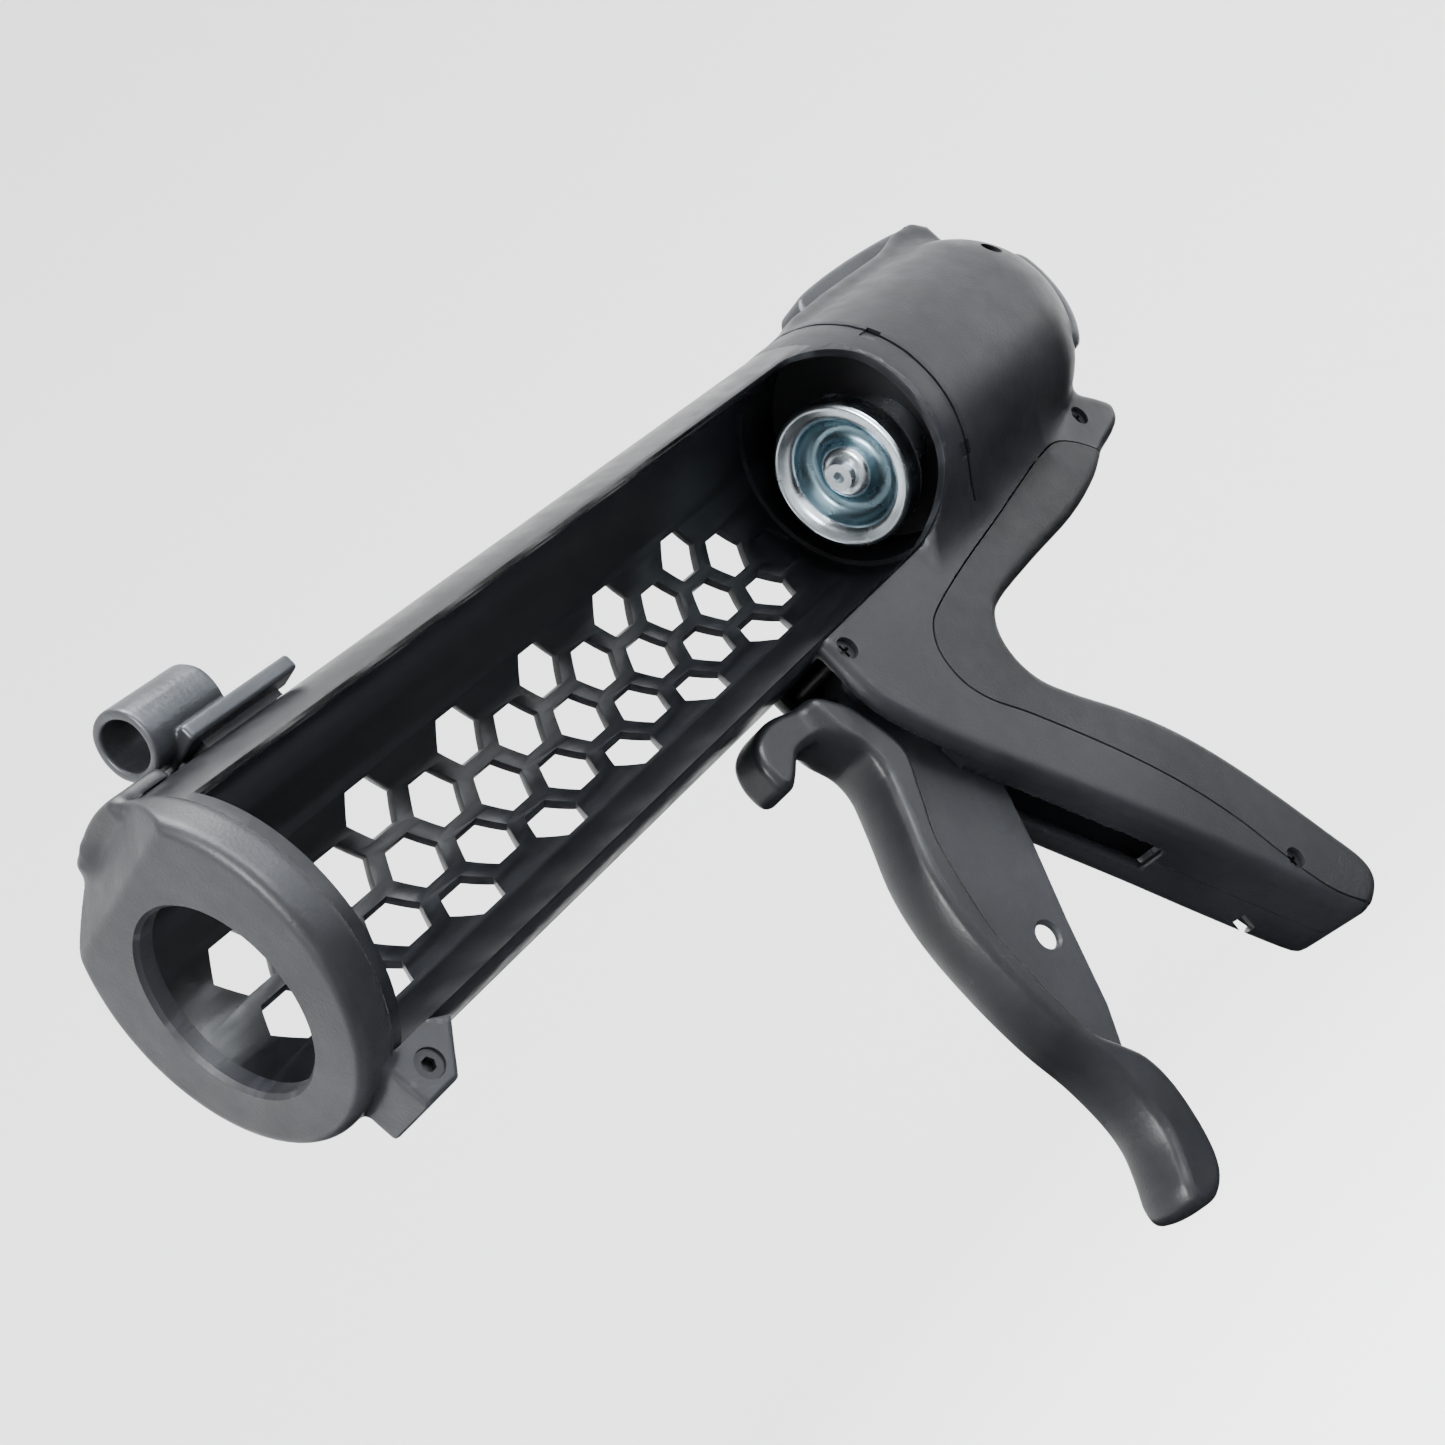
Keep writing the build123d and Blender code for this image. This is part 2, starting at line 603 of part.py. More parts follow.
# ---- trigger ------------------------------------------------------------------------------
HOOK = [
    (-129.8, -33.5), (-134, -31.4), (-140, -31), (-147.5, -33.2), (-153.5, -36.6),
    (-153, -48), (-150.5, -44), (-146, -41.5), (-139, -41), (-134, -43.6), (-130, -45.2),
    (-127.2, -43.8),
]
BAND = [
    (-150.5, -34.9), (-154.8, -37.4), (-159.2, -44), (-159.4, -56.5), (-151, -67.5),
    (-145, -76), (-140.4, -87.5), (-136.7, -108), (-136.5, -127.6), (-140, -134),
    (-143.5, -141), (-143, -150), (-139, -162), (-134.5, -168), (-128, -170),
    (-122.5, -167.5), (-122.5, -164), (-127, -158.5), (-131, -152.5), (-132.8, -146),
    (-132.9, -134), (-131.4, -122.7), (-131.1, -110), (-131.8, -98.5), (-132.7, -91.7),
    (-134.5, -84.5), (-137.6, -76.4), (-144.5, -66), (-150.2, -56), (-151.2, -49.2),
    (-149.5, -44),
]
BLADE = [
    (-155, -42), (-156, -56), (-148, -68), (-142.4, -77), (-138, -88), (-134.6, -108),
    (-134.5, -127), (-137.6, -134), (-141, -141), (-146.5, -136.6), (-152.7, -129),
    (-163.4, -110.5), (-173.6, -94.5), (-181, -81), (-187, -66), (-186.5, -54), (-176, -36),
    (-170, -33.4), (-164, -38),
]
RECESS = [
    (-160, -71), (-151, -78), (-144.5, -90), (-140.6, -108), (-140.4, -122), (-145, -130.4),
    (-158, -128), (-168, -110), (-180, -92), (-188, -78), (-179.4, -72),
]
with BuildPart() as trigger_blade:
    add(side_slab(BLADE, BLADE_HALF))
    with BuildSketch(side_plane(WEB_LOW)):
        Polygon(*RECESS)
    extrude(amount=WEB_LOW + BLADE_HALF, mode=Mode.SUBTRACT)
    add(pin_y(*PIVOT, -BLADE_HALF, BLADE_HALF, TRIGGER_PIN_R + FIT), mode=Mode.SUBTRACT)
    add(pin_y(*BLADE_HOLE, -BLADE_HALF, BLADE_HALF, BLADE_HOLE_R), mode=Mode.SUBTRACT)
    add(pin_y(*LINK_PIN, -BLADE_HALF, BLADE_HALF, LINK_PIN_R + FIT), mode=Mode.SUBTRACT)
save(trigger_blade.part, "trigger_blade")

with BuildPart() as trigger:
    add(side_slab(BAND, BAND_HALF))
    add(side_slab(HOOK, HOOK_HALF))
    add(side_slab(BLADE, BLADE_HALF), mode=Mode.SUBTRACT)
save(trigger.part, "trigger")

save(pin_y(*PIVOT, -PIN_HALF + 0.1, PIN_HALF - 0.1, TRIGGER_PIN_R), "trigger_pin")

with BuildPart() as trigger_bushes:
    for low, high in ((BLADE_HALF + GAP, BAND_HALF + 0.5), (-BAND_HALF - 0.5, -BLADE_HALF - GAP)):
        add(ring_y(*PIVOT, low, high, TRIGGER_PIN_R + FIT + BUSH_WALL, TRIGGER_PIN_R + FIT))
save(trigger_bushes.part, "trigger_bushes")


def torsion_spring(centre, low, turns, radius, wire):
    """Closed coil round a cross pin, as stacked rings joined by a straight leg."""
    x, z = centre
    with BuildPart() as coil:
        for turn in range(turns):
            y = low + wire * (turn + 0.5)
            add(ring_y(x, z, y - wire / 2, y + wire / 2, radius + wire / 2, radius - wire / 2))
        with BuildSketch(side_plane(low + wire)):
            with Locations((x - radius, z - radius)):
                Rectangle(wire, 2 * radius)
        extrude(amount=wire)
    return coil.part


save(torsion_spring(PIVOT, BLADE_HALF + GAP, 4, 5.2, 0.9), "trigger_spring")


# ---- drive link ---------------------------------------------------------------------------
LINK = [
    (-175, -60.4), (-181, -59.6), (-201, -48.4), (-214, -43.9), (-238, -41.4), (-250.6, -41.1),
    (-251, -39.6), (-246, -38.4), (-214, -40.4), (-199.6, -44.8), (-180, -55), (-175, -56),
]
with BuildPart() as drive_link:
    with BuildSketch(side_plane(LINK_HIGH)):
        Polygon(*LINK)
        with Locations(LINK_PIN):
            Circle(3.6)
            Circle(LINK_PIN_R + FIT, mode=Mode.SUBTRACT)
    extrude(amount=LINK_HIGH - LINK_LOW)
save(drive_link.part, "drive_link")
save(pin_y(*LINK_PIN, -BLADE_HALF, LINK_HIGH, LINK_PIN_R), "link_pin")


# ---- ratchet wheel and holding pawl -------------------------------------------------------
def tooth_points(count, tip, root):
    """Saw-tooth outline of the ratchet disc."""
    points = []
    for tooth in range(count):
        for radius, part_of_pitch in ((root, 0.0), (tip, 0.88)):
            angle = radians(360 * (tooth + part_of_pitch) / count)
            points.append((radius * cos(angle), radius * sin(angle)))
    return points


with BuildPart() as ratchet_wheel:
    with BuildSketch(side_plane(LINK_HIGH)):
        with Locations(WHEEL):
            Polygon(*tooth_points(WHEEL_TEETH, WHEEL_R, WHEEL_ROOT_R))
            Circle(AXLE_R + FIT, mode=Mode.SUBTRACT)
    extrude(amount=LINK_HIGH - SPROCKET_HALF)
    with BuildSketch(side_plane(SPROCKET_HALF)):
        with Locations(WHEEL):
            RegularPolygon(SPROCKET_R, 8)
            Circle(AXLE_R + FIT, mode=Mode.SUBTRACT)
    extrude(amount=2 * SPROCKET_HALF)
save(ratchet_wheel.part, "ratchet_wheel")
save(pin_y(*WHEEL, -PIN_HALF + 0.1, PIN_HALF - 0.1, AXLE_R), "wheel_axle")

with BuildPart() as axle_bushes:
    for low, high in ((LINK_HIGH + GAP, CAVITY_HALF - 0.1), (-CAVITY_HALF + 0.1, -SPROCKET_HALF - GAP)):
        add(ring_y(*WHEEL, low, high, AXLE_R + FIT + BUSH_WALL, AXLE_R + FIT))
save(axle_bushes.part, "axle_bushes")

PAWL = [
    (-289, -36.8), (-285, -36.4), (-278.9, -30.4), (-278.7, -28), (-284, -30.8), (-289, -31.2),
]
with BuildPart() as holding_pawl:
    with BuildSketch(side_plane(LINK_HIGH)):
        Polygon(*PAWL)
        with Locations(PAWL_PIN):
            Circle(3.0)
            Circle(PAWL_PIN_R + FIT, mode=Mode.SUBTRACT)
    extrude(amount=LINK_HIGH - LINK_LOW)
save(holding_pawl.part, "holding_pawl")
save(pin_y(*PAWL_PIN, -PIN_HALF + 0.1, PIN_HALF - 0.1, PAWL_PIN_R), "pawl_pin")
save(torsion_spring(PAWL_PIN, 0.2, 4, 2.6, 0.7), "pawl_spring")


# ---- stored push chain --------------------------------------------------------------------
def chain_stops():
    """Joint positions of the stored chain, run by run."""
    runs = []
    for (x0, z0), (x1, z1) in CHAIN_RUNS:
        count = int(((x1 - x0) ** 2 + (z1 - z0) ** 2) ** 0.5 / CHAIN_PITCH)
        share = [i / count for i in range(count + 1)]
        runs.append([(x0 + (x1 - x0) * t, z0 + (z1 - z0) * t) for t in share])
    return runs


with BuildPart() as push_chain:
    for stops in chain_stops():
        for (x0, z0), (x1, z1) in zip(stops[:-1], stops[1:]):
            with BuildSketch(side_plane(CHAIN_Y + CHAIN_HALF)):
                with Locations(((x0 + x1) / 2, (z0 + z1) / 2)):
                    Rectangle(CHAIN_PITCH - 0.6, 4.6, rotation=degrees(atan2(z1 - z0, x1 - x0)))
            extrude(amount=2 * CHAIN_HALF)
save(push_chain.part, "push_chain")
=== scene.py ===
"""Caulking gun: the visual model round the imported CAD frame. Shapes are in millimetres."""
from math import cos, pi, radians, sin

import bmesh
import bpy
import numpy as np
from mathutils import Matrix, Vector


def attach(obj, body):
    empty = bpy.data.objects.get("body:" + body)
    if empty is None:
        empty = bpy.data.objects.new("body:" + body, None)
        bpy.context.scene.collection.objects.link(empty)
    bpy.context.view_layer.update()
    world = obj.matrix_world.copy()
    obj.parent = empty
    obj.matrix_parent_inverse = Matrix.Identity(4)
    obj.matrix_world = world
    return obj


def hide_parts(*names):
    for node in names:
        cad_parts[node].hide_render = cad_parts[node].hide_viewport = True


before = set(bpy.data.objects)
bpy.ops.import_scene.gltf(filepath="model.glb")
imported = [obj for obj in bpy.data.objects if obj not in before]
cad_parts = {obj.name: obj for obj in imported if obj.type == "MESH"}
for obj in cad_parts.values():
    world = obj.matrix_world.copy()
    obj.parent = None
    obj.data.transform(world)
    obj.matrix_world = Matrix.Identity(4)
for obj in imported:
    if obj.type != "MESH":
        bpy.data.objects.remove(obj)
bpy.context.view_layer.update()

MM = 0.001

# ---- dimensions shared with the CAD ---------------------------------------------------------
TUBE_Z = 3.7
TUBE_R = 33.0
TUBE_REAR = -236.0
DRUM_R = 33.6
DRUM_REAR = -328.0
DOME_START = -296.0
DOME_FLAT_R = 9.0
HALF_WIDTH = 13.0
WINDOW = (-226.0, -11.0, -26.5, 27.5)
WINDOW_CORNER = 16.0
NOZZLE_R = 19.5
SHELL_SCREWS = [(-165.5, -32.0, 12.0), (-227.5, -146.0, 12.0), (-303.0, -31.5, 12.0), (-305.0, 17.0, 24.5)]
SCREW_HEAD_R = 2.9
COLLAR_NOTCHES = (26.0, -40.0)
GRIP_STEP, HOUSING_STEP = 0.8, 0.9
STRAP_HALF, HOOK_HALF = 8.0, 5.6
BLADE_HALF = 3.5
WEB_LOW = 1.9
PIVOT, PIVOT_R = (-170.0, -40.0), 2.55
LINK_PIN, LINK_PIN_R = (-178.0, -58.0), 1.85
BLADE_HOLE, BLADE_HOLE_R = (-155.0, -109.0), 3.2
LEVER_HALF = 5.5
CAP_R = 34.0
CAP_SCREW, CAP_SCREW_R = (-12.0, -32.2), 1.75
CUP_FACE = -225.0


# ---- distance fields -----------------------------------------------------------------------
def spline(points, steps=4):
    """Closed smooth curve through the points."""
    pts = np.array(points, float)
    before, after, beyond = np.roll(pts, 1, 0), np.roll(pts, -1, 0), np.roll(pts, -2, 0)
    rows = []
    for i in range(steps):
        t = i / steps
        rows.append(
            0.5 * (2 * pts + (after - before) * t + (2 * before - 5 * pts + 4 * after - beyond) * t**2
                   + (3 * pts - before - 3 * after + beyond) * t**3)
        )
    return np.stack(rows, 1).reshape(-1, 2)


def open_spline(points, steps=6):
    """Smooth curve from the first point to the last."""
    ends = [2 * np.array(points[0]) - points[1], *points, 2 * np.array(points[-1]) - points[-2]]
    curve = spline(ends, steps)
    return curve[steps:steps * len(points) + 1]


def outline_distance(points, u, v):
    """Signed distance to a closed outline, negative inside."""
    pts = np.array(points, np.float32)
    nearest = np.full(u.shape, 1e9, np.float32)
    inside = np.zeros(u.shape, bool)
    for (ax, ay), (bx, by) in zip(pts, np.roll(pts, -1, 0)):
        ex, ey = bx - ax, by - ay
        t = np.clip(((u - ax) * ex + (v - ay) * ey) / (ex * ex + ey * ey + 1e-9), 0, 1)
        nearest = np.minimum(nearest, (u - ax - t * ex) ** 2 + (v - ay - t * ey) ** 2)
        if ay != by:
            crosses = ((ay > v) != (by > v)) & (u < ex * (v - ay) / (by - ay) + ax)
            inside ^= crosses
    return np.where(inside, -1, 1) * np.sqrt(nearest)


def both(a, b, radius=0.0):
    """Intersection of two fields, with its edge rounded."""
    if radius == 0:
        return np.maximum(a, b)
    a, b = a + radius, b + radius
    return np.minimum(np.maximum(a, b), 0) + np.hypot(np.maximum(a, 0), np.maximum(b, 0)) - radius


def join(a, b, blend):
    """Union of two fields, with a soft fillet of about that size."""
    h = np.clip(0.5 + 0.5 * (b - a) / blend, 0, 1)
    return b + (a - b) * h - blend * h * (1 - h)


def side_field(points, x, z):
    """Signed distance to a closed side outline, the same all the way across the width."""
    return outline_distance(points, x[:, 0, :], z[:, 0, :])[:, None, :]


def span(value, low, high):
    """Distance outside the stretch from low to high."""
    return np.maximum(low - value, value - high)


def grid(low, high, step):
    """Sample points of a box, as x, y and z arrays."""
    axes = [np.arange(a, b + step, step, dtype=np.float32) for a, b in zip(low, high)]
    return np.meshgrid(*axes, indexing="ij")


def surface_net(field, low, step):
    """Vertices and quads of the zero level: a vertex in each mixed cell, a quad on each crossed edge."""
    inside = field < 0
    size = np.array(field.shape)
    corners = sum(
        inside[i:size[0] - 1 + i, j:size[1] - 1 + j, k:size[2] - 1 + k].astype(np.int8)
        for i in (0, 1) for j in (0, 1) for k in (0, 1)
    )
    mixed = (corners > 0) & (corners < 8)
    cells = np.argwhere(mixed)
    index = np.full(mixed.shape, -1)
    index[mixed] = np.arange(len(cells))
    total, count = np.zeros((len(cells), 3)), np.zeros(len(cells))
    quads = []
    for axis in range(3):
        u, v = (axis + 1) % 3, (axis + 2) % 3
        for a in (0, 1):
            for b in (0, 1):
                start = cells.copy()
                start[:, u] += a
                start[:, v] += b
                end = start.copy()
                end[:, axis] += 1
                f0, f1 = field[tuple(start.T)], field[tuple(end.T)]
                hit = (f0 < 0) != (f1 < 0)
                point = start[hit].astype(float)
                point[:, axis] += f0[hit] / (f0[hit] - f1[hit])
                total[hit] += point
                count[hit] += 1
        first = [slice(None)] * 3
        second = [slice(None)] * 3
        first[axis], second[axis] = slice(0, -1), slice(1, None)
        edge = np.argwhere(inside[tuple(first)] != inside[tuple(second)])
        keep = (edge[:, u] > 0) & (edge[:, v] > 0) & (edge[:, u] < size[u] - 1) & (edge[:, v] < size[v] - 1)
        edge = edge[keep]
        rises = inside[tuple(edge.T)]
        ring = []
        for du, dv in ((1, 1), (0, 1), (0, 0), (1, 0)):
            cell = edge.copy()
            cell[:, u] -= du
            cell[:, v] -= dv
            ring.append(index[tuple(cell.T)])
        ring = np.stack(ring, 1)
        quads.append(np.where(rises[:, None], ring, ring[:, ::-1]))
    return total / count[:, None] * step + np.array(low), np.concatenate(quads)


# ---- meshes --------------------------------------------------------------------------------
def add_mesh(name, verts, faces):
    """Object from vertices in millimetres and faces."""
    mesh = bpy.data.meshes.new(name)
    mesh.from_pydata((np.array(verts) * MM).tolist(), [], [list(f) for f in faces])
    mesh.validate()
    obj = bpy.data.objects.new(name, mesh)
    bpy.context.scene.collection.objects.link(obj)
    return obj


def add_field(name, field, low, step):
    """Object from a distance field sampled on a grid, closed at the grid's edge."""
    for axis in range(3):
        face = np.moveaxis(field, axis, 0)
        face[0] = np.maximum(face[0], step / 2)
        face[-1] = np.maximum(face[-1], step / 2)
    return add_mesh(name, *surface_net(field, low, step))


def prism(name, outline, y_low, y_high):
    """Side outline pushed through from y_low to y_high."""
    count = len(outline)
    verts = [(x, y, z) for y in (y_low, y_high) for x, z in outline]
    faces = [[i, (i + 1) % count, count + (i + 1) % count, count + i] for i in range(count)]
    faces += [list(range(count))[::-1], list(range(count, 2 * count))]
    return outward(add_mesh(name, verts, faces))


def outward(obj):
    """All face normals point out."""
    work = bmesh.new()
    work.from_mesh(obj.data)
    bmesh.ops.recalc_face_normals(work, faces=work.faces)
    work.to_mesh(obj.data)
    work.free()
    return obj


def lathe(name, profile, centre, axis="X", turns=96):
    """Profile of (along, radius) points turned round an axis, closed by zero radii or by its own end."""
    verts, faces, rings = [], [], []
    for along, radius in profile:
        if rings and (along, radius) == profile[0]:
            rings.append(rings[0])
            continue
        ring = []
        for i in range(turns if radius > 0 else 1):
            a = 2 * pi * i / turns
            p, q = radius * cos(a), radius * sin(a)
            ring.append(len(verts))
            verts.append({
                "X": (centre[0] + along, centre[1] + p, centre[2] + q),
                "Y": (centre[0] + q, centre[1] + along, centre[2] + p),
                "Z": (centre[0] + p, centre[1] + q, centre[2] + along),
            }[axis])
        rings.append(ring)
    for low, high in zip(rings[:-1], rings[1:]):
        for i in range(turns):
            j = (i + 1) % turns
            face = [low[i % len(low)], low[j % len(low)], high[j % len(high)], high[i % len(high)]]
            faces.append(list(dict.fromkeys(face)))
    return outward(add_mesh(name, verts, faces))


def rod(name, centre, axis, low, high, radius):
    """Solid round cutter or pin."""
    return lathe(name, [(low, 0), (low, radius), (high, radius), (high, 0)], centre, axis, 48)


def block(name, low, high):
    """Box-shaped cutter."""
    outline = [(low[0], low[2]), (high[0], low[2]), (high[0], high[2]), (low[0], high[2])]
    return prism(name, outline, low[1], high[1])


def settle(obj):
    """Applies the modifiers."""
    graph = bpy.context.evaluated_depsgraph_get()
    done = bpy.data.meshes.new_from_object(obj.evaluated_get(graph))
    obj.modifiers.clear()
    obj.data = done


def cut(obj, cutters, operation="DIFFERENCE"):
    """Boolean with each cutter, which is then deleted."""
    for cutter in cutters:
        mod = obj.modifiers.new("cut", "BOOLEAN")
        mod.operation, mod.object, mod.solver = operation, cutter, "MANIFOLD"
        settle(obj)
        bpy.data.objects.remove(cutter)


def shade(obj, angle=35):
    """Smooth shading with sharp edges kept."""
    obj.data.polygons.foreach_set("use_smooth", [True] * len(obj.data.polygons))
    obj.data.set_sharp_from_angle(angle=radians(angle))


def bevelled(node, name, width):
    """Copy of a CAD node whose sharp edges are eased by width millimetres. The copy stands for the node."""
    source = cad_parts[node]
    obj = bpy.data.objects.new(name, source.data.copy())
    bpy.context.scene.collection.objects.link(obj)
    obj.matrix_world = source.matrix_world
    weld = obj.modifiers.new("weld", "WELD")
    weld.merge_threshold = 0.004 * MM
    plane = obj.modifiers.new("planar", "DECIMATE")
    plane.decimate_type = "DISSOLVE"
    plane.angle_limit = radians(1)
    bevel = obj.modifiers.new("bevel", "BEVEL")
    bevel.width, bevel.segments, bevel.limit_method = width * MM, 2, "ANGLE"
    bevel.angle_limit = radians(35)
    settle(obj)
    return obj


def finish_piece(obj, material, slot, body, *nodes, angle=35):
    """Shading, material, body and the CAD nodes that the piece stands for. The slot argument is not used."""
    shade(obj, angle)
    if material:
        obj.data.materials.clear()
        obj.data.materials.append(material)
    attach(obj, body)
    if nodes:
        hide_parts(*nodes)


# ---- materials -----------------------------------------------------------------------------
def surface(name, color, rough, metallic=0.0, grain=1400.0, bump=0.12, cloud=0.25, wear=0.5, wear_color=None,
            streak=None, specular=0.26):
    """Procedural surface: fine grain bump, cloudy colour and roughness, and lighter worn edges."""
    mat = bpy.data.materials.new(name)
    mat.use_nodes = True
    nodes, links = mat.node_tree.nodes, mat.node_tree.links
    shader = nodes["Principled BSDF"]
    shader.inputs["Metallic"].default_value = metallic
    shader.inputs["Specular IOR Level"].default_value = specular
    place = nodes.new("ShaderNodeTexCoord")

    def noise(scale, detail, stretch=None):
        tex = nodes.new("ShaderNodeTexNoise")
        tex.inputs["Scale"].default_value = scale
        tex.inputs["Detail"].default_value = detail
        source = place.outputs["Object"]
        if stretch:
            mapping = nodes.new("ShaderNodeMapping")
            mapping.inputs["Scale"].default_value = stretch
            links.new(source, mapping.inputs["Vector"])
            source = mapping.outputs["Vector"]
        links.new(source, tex.inputs["Vector"])
        return tex.outputs["Fac"]

    def ramp(source, low, high, a, b):
        node = nodes.new("ShaderNodeMapRange")
        node.inputs["From Min"].default_value = low
        node.inputs["From Max"].default_value = high
        node.inputs["To Min"].default_value = a
        node.inputs["To Max"].default_value = b
        links.new(source, node.inputs["Value"])
        return node.outputs["Result"]

    def mix(factor, a, b):
        node = nodes.new("ShaderNodeMix")
        node.data_type = "RGBA"
        links.new(factor, node.inputs["Factor"])
        for socket, value in ((node.inputs["A"], a), (node.inputs["B"], b)):
            if isinstance(value, tuple):
                socket.default_value = (*value, 1)
            else:
                links.new(value, socket)
        return node.outputs["Result"]

    clouds = noise(38.0, 4.0, streak)
    dark = tuple(c * (1 - cloud) for c in color)
    light = tuple(min(1.0, c * (1 + cloud)) for c in color)
    tone = mix(ramp(clouds, 0.35, 0.65, 0, 1), dark, light)
    shape = nodes.new("ShaderNodeNewGeometry")
    edges = ramp(shape.outputs["Pointiness"], 0.53, 0.60, 0, wear)
    tone = mix(edges, tone, wear_color or tuple(min(1.0, c * 2.5 + 0.004) for c in color))
    links.new(tone, shader.inputs["Base Color"])
    spread = ramp(noise(160.0, 3.0), 0.3, 0.7, rough - 0.06, rough + 0.06)
    links.new(spread, shader.inputs["Roughness"])
    height = nodes.new("ShaderNodeBump")
    height.inputs["Strength"].default_value = bump
    height.inputs["Distance"].default_value = 0.0002
    links.new(noise(grain, 2.0), height.inputs["Height"])
    links.new(height.outputs["Normal"], shader.inputs["Normal"])
    return mat


PLASTIC = surface("moulded_plastic", (0.0048, 0.0052, 0.0066), 0.40, bump=0.22)
BARREL = surface("coated_barrel", (0.0042, 0.0046, 0.0058), 0.34, bump=0.12, streak=(0.2, 1, 1))
CAP = surface("cap_plastic", (0.0085, 0.009, 0.0108), 0.42, bump=0.25)
RUBBER = surface("soft_grip_rubber", (0.0045, 0.0047, 0.0056), 0.52, grain=1900.0, bump=0.45)
TRIGGER = surface("trigger_plastic", (0.0045, 0.0049, 0.0060), 0.36, bump=0.2)
BLADE = surface("blade_coating", (0.0075, 0.008, 0.0098), 0.5, bump=0.35)
ZINC = surface("zinc_plate", (0.62, 0.69, 0.74), 0.24, 1.0, grain=700.0, bump=0.06, cloud=0.2, wear=0.3,
               wear_color=(0.9, 0.93, 0.95))
# Darker teal copy of the zinc for the groove faces of the plunger dish: painted shade in the groove.
ZINC_GROOVE_SHADE = surface("zinc_shadow", (0.20, 0.30, 0.35), 0.3, 1.0, grain=700.0, bump=0.06, cloud=0.35,
                    wear=0.2)
STEEL = surface("ground_steel", (0.55, 0.56, 0.58), 0.3, 1.0, bump=0.1, streak=(1, 6, 1))
BLACK = surface("black_oxide", (0.004, 0.004, 0.005), 0.38, 0.3, bump=0.2)
CLIP = surface("cast_clip", (0.035, 0.037, 0.041), 0.36, 0.6, grain=900.0, bump=0.35)
WIRE = surface("spring_wire", (0.4, 0.41, 0.42), 0.32, 1.0, bump=0.1)
INNER = surface("inner_plastic", (0.004, 0.004, 0.005), 0.6, bump=0.2)


# ---- housing -------------------------------------------------------------------------------
NECK = [
    (-160.6, -14), (-160.6, -30), (-160.9, -46), (-167.5, -61), (-177, -76), (-191, -99), (-203, -119),
    (-216, -142), (-229, -164), (-233.5, -168.6), (-240, -169.4), (-246.6, -167), (-248.9, -161),
    (-246.6, -150), (-242.5, -133), (-238, -118), (-232, -103.5), (-224, -90), (-215, -78),
    (-209.6, -69), (-209.2, -60), (-213.5, -53), (-222, -49.8), (-245, -48.9), (-270, -48.7),
    (-289, -46.3), (-301, -42.9), (-312, -41.4), (-318.6, -39.4), (-320.8, -35), (-317, -30.4),
    (-311, -24), (-306, -8), (-296, 0), (-250, 0), (-200, 0), (-162, 0),
]
GRIP_SEAM = [
    (-300, -44), (-292, -35.6), (-284, -31.8), (-272, -31.6), (-256, -33.2), (-242, -34.8),
    (-218, -37.2), (-200, -39.8),
    (-192.6, -42.4), (-187.6, -47.8), (-186.2, -56), (-189, -64), (-196, -73.5), (-205, -88.5),
    (-213, -104), (-218.5, -117), (-222.4, -130), (-224.6, -142), (-228, -156), (-234, -166),
    (-243, -174),
]
GRIP_BEHIND = [(-262, -175), (-262, -90), (-222, -62), (-309, -60)]
GRIP = np.concatenate([open_spline(GRIP_SEAM), GRIP_BEHIND])
CHEEK = [
    (-238.5, 18), (-238.5, 33.5), (-246, 37.4), (-262, 38.4), (-294, 38.4), (-302, 39.6), (-308, 40.8),
    (-316, 40.6), (-321, 37), (-322, 18),
]
CAVITY = [
    (-163.5, -18), (-163.5, -45), (-170.5, -59.5), (-180, -74.5), (-203, -112.5), (-218, -138.5),
    (-231, -160.5), (-235, -164.5), (-241, -165), (-244.3, -161), (-241.6, -150), (-237.5, -133),
    (-233, -120), (-227, -105.5), (-220, -93), (-210.5, -81), (-203.8, -69), (-203.6, -58),
    (-209.5, -48.5), (-221, -44.2), (-270, -43.4), (-287, -41.2), (-298, -38), (-312, -36.5),
    (-306, -26), (-302, -8), (-292, 0), (-162, 0),
]


def drum_field(x, r, radius, rear):
    """Drum with a domed rear end; its front is open."""
    along = np.maximum(DOME_START - x, 0) / (DOME_START - rear)
    out = np.maximum(r - DOME_FLAT_R, 0) / (radius - DOME_FLAT_R)
    return (np.hypot(along, out) - 1) * (radius - DOME_FLAT_R)


def window_field(x, z, grow):
    """Loading window with round rear corners, grown by a margin."""
    rear, front, bottom, top = WINDOW
    dx = rear + WINDOW_CORNER - x
    dz = np.abs(z - (bottom + top) / 2) - (top - bottom) / 2 + WINDOW_CORNER
    corner = np.hypot(np.maximum(dx, 0), np.maximum(dz, 0)) + np.minimum(np.maximum(dx, dz), 0)
    return np.maximum(corner - WINDOW_CORNER, x - front) - grow


def housing_field(x, y, z, swell=0.0):
    """Neck and handle flowing into the drum and the collar round the barrel's end."""
    side = side_field(spline(NECK), x, z)
    waist = HALF_WIDTH - 0.9 * np.exp(-((z + 72) / 22) ** 2)
    neck = both(side - swell, np.abs(y) - waist - swell, 3.4)
    r = np.hypot(y, z - TUBE_Z)
    drum = np.maximum(drum_field(x, r, DRUM_R, DRUM_REAR), x - TUBE_REAR)
    ease = np.clip((-217.0 - x) / 12.0, 0, 1)
    collar = np.maximum(r - (TUBE_R - 0.3 + 0.65 * ease), np.maximum(x + 217.5, TUBE_REAR - 1 - x))
    cheeks = both(side_field(CHEEK, x, z), np.abs(y) - 12.4, 3.2)
    flow = 11.0 - 8.0 * np.clip((-278.0 - x) / 20.0, 0, 1)
    body = join(np.minimum(drum, collar), neck, flow)
    return join(body, cheeks, 4.0)


